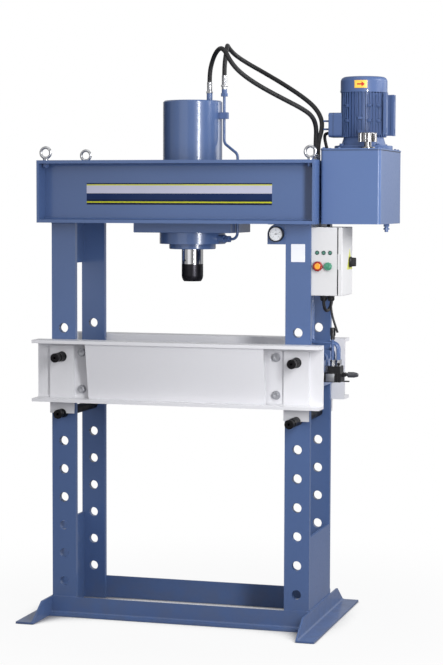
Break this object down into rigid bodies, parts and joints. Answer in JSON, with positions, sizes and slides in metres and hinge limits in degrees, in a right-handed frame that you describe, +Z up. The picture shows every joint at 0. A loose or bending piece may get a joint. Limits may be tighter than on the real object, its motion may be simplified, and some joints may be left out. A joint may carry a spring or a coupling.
{
  "type": "hydraulic workshop press",
  "caption": "Floor-standing hydraulic press: portal frame with pin holes, height-adjustable channel table on pins, cylinder in the head, motor and oil tank, cabinet and hand valve at the side.",
  "frame": {"origin": "on the floor, under the middle of the outline; the ram's axis is 108.5 mm towards -X from it", "axes": "+Z up, -Y towards the operator, +X towards the motor, tank and cabinet"},
  "size_m": [1.547, 0.88, 2.5246],
  "materials": {
    "blue_paint": "semi-gloss",
    "tank_paint": "semi-gloss",
    "motor_paint": "semi-gloss",
    "table_paint": "semi-gloss",
    "cabinet_paint": "fine texture",
    "dark_steel": "black oxide",
    "valve_black": "satin",
    "ground_steel": "ground",
    "plated_steel": "zinc plated",
    "cast_pump": "as cast",
    "chromed_cap": "polished",
    "hose_rubber": "matte",
    "black_plastic": "matte",
    "grip_plastic": "glossy",
    "gauge_steel": "satin",
    "lamp_plastic": "glossy",
    "red_plastic": "glossy",
    "green_plastic": "glossy"
  },
  "bodies": {
    "frame": {"upright_front_left": "blue_paint", "upright_front_right": "blue_paint", "upright_rear_left": "blue_paint", "upright_rear_right": "blue_paint", "side_plates": "blue_paint", "foot_left": "blue_paint", "foot_right": "blue_paint", "base_angles": "blue_paint", "head_channel_front": "blue_paint", "head_channel_rear": "blue_paint", "head_ribs": "blue_paint", "cylinder_mount_plate": "blue_paint", "cylinder_barrel": "blue_paint", "cylinder_cap": "blue_paint", "cylinder_gland": "blue_paint", "side_brackets": "blue_paint", "gauge_bracket": "blue_paint", "rod_side_pipe": "blue_paint", "valve_pipes": "blue_paint", "tank_body": "tank_paint", "tank_lid": "tank_paint", "filler_neck": "tank_paint", "motor_housing": "motor_paint", "motor_flange": "motor_paint", "fan_cowl": "motor_paint", "terminal_box": "motor_paint", "cabinet_body": "cabinet_paint", "valve_body": "valve_black", "pressure_switch": "valve_black", "eye_bolts": "plated_steel", "hose_ends": "plated_steel", "pipe_fittings": "plated_steel", "pump": "cast_pump", "cap_hose": "hose_rubber", "rod_hose": "hose_rubber", "motor_conduit": "hose_rubber", "supply_cable": "hose_rubber", "cable_glands": "black_plastic", "gauge_case": "gauge_steel", "indicators": "lamp_plastic"},
    "table": {"table_channel_front": "table_paint", "table_channel_rear": "table_paint", "table_plates": "table_paint", "table_tie_bolts": "plated_steel"},
    "upper_left_pin": {"pin_upper_left": "dark_steel"},
    "upper_right_pin": {"pin_upper_right": "dark_steel"},
    "lower_left_pin": {"pin_lower_left": "dark_steel"},
    "lower_right_pin": {"pin_lower_right": "dark_steel"},
    "piston_rod": {"ram": "ground_steel", "ram_nose": "ground_steel"},
    "rotor": {"motor_rotor": "ground_steel", "fan": "black_plastic"},
    "needle": {"gauge_needle": "black_plastic"},
    "door": {"cabinet_door": "cabinet_paint"},
    "switch_knob": {"main_switch": "black_plastic"},
    "stop": {"stop_button": "red_plastic"},
    "start": {"start_button": "green_plastic"},
    "lever": {"valve_lever": "grip_plastic"},
    "breather_cap": {"filler_cap": "chromed_cap"}
  },
  "joints": [
    {"name": "ram_slide", "type": "slide", "parent": "frame", "child": "piston_rod", "axis": [0, 0, -1], "range_m": [0, 0.3]},
    {"name": "table_lift", "type": "slide", "parent": "frame", "child": "table", "axis": [0, 0, 1], "range_m": [0, 0.002]},
    {"name": "upper_left_pin_slide", "type": "slide", "parent": "frame", "child": "upper_left_pin", "axis": [0, -1, 0], "range_m": [0, 0.6]},
    {"name": "upper_right_pin_slide", "type": "slide", "parent": "frame", "child": "upper_right_pin", "axis": [0, -1, 0], "range_m": [0, 0.6]},
    {"name": "lower_left_pin_slide", "type": "slide", "parent": "frame", "child": "lower_left_pin", "axis": [0, -1, 0], "range_m": [0, 0.6]},
    {"name": "lower_right_pin_slide", "type": "slide", "parent": "frame", "child": "lower_right_pin", "axis": [0, -1, 0], "range_m": [0, 0.54]},
    {"name": "rotor_spin", "type": "hinge", "parent": "frame", "child": "rotor", "pos_m": [0.6485, 0.04, 2.2], "axis": [0, 0, 1], "continuous": true},
    {"name": "breather_cap_turn", "type": "hinge", "parent": "frame", "child": "breather_cap", "pos_m": [0.7065, -0.15, 2.1], "axis": [0, 0, 1], "range_deg": [0, 60]},
    {"name": "needle_swing", "type": "hinge", "parent": "frame", "child": "needle", "pos_m": [0.3295, -0.225, 1.694], "axis": [0, 1, 0], "range_deg": [-225, 45], "stiffness_Nm_per_rad": 0.0005},
    {"name": "door_hinge", "type": "hinge", "parent": "frame", "child": "door", "pos_m": [0.5895, 0.0151, 1.579], "axis": [0, 0, 1], "range_deg": [0, 110]},
    {"name": "main_switch_turn", "type": "hinge", "parent": "door", "child": "switch_knob", "pos_m": [0.6115, -0.046, 1.574], "axis": [1, 0, 0], "range_deg": [0, 90]},
    {"name": "stop_press", "type": "slide", "parent": "frame", "child": "stop", "axis": [0, 1, 0], "range_m": [0, 0.004], "stiffness_N_per_m": 600},
    {"name": "start_press", "type": "slide", "parent": "frame", "child": "start", "axis": [0, 1, 0], "range_m": [0, 0.004], "stiffness_N_per_m": 500},
    {"name": "valve_lever_swing", "type": "hinge", "parent": "frame", "child": "lever", "pos_m": [0.6075, -0.1125, 1.095], "axis": [0, 1, 0], "range_deg": [-18, 18], "stiffness_Nm_per_rad": 3}
  ]
}
